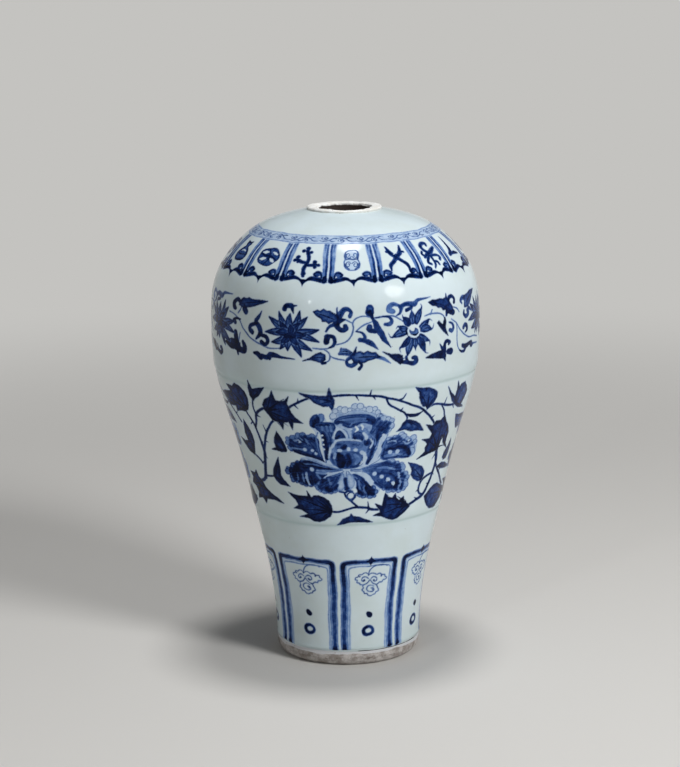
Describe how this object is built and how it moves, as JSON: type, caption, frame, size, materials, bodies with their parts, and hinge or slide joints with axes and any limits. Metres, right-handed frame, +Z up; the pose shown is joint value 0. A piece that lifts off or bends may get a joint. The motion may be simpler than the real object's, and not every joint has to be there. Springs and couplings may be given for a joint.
{
  "type": "meiping vase",
  "caption": "Tall porcelain vase with high round shoulders, narrow waist and rounded foot, luted from thrown sections, with a worn neck stub round a small mouth; holds flower stems or liquid.",
  "frame": {"origin": "centre of the foot, on the surface that the vase stands on", "axes": "+Z up along the turning axis; -Y is the painted front, with a whole peony"},
  "size_m": [0.2336, 0.2336, 0.395],
  "materials": {
    "bare_porcelain": "unglazed, buff with iron specks",
    "luting_slip": "fired clay slip, wiped",
    "painted_glaze": "glossy bluish white over cobalt painting"
  },
  "bodies": {
    "root": {"base_slab": "bare_porcelain", "lower_wall": "bare_porcelain", "belly_wall": "bare_porcelain", "shoulder_wall": "bare_porcelain", "neck_stub": "bare_porcelain", "base_luting": "luting_slip", "lower_luting": "luting_slip", "upper_luting": "luting_slip", "neck_luting": "luting_slip", "glaze_coat": "painted_glaze"}
  },
  "joints": []
}
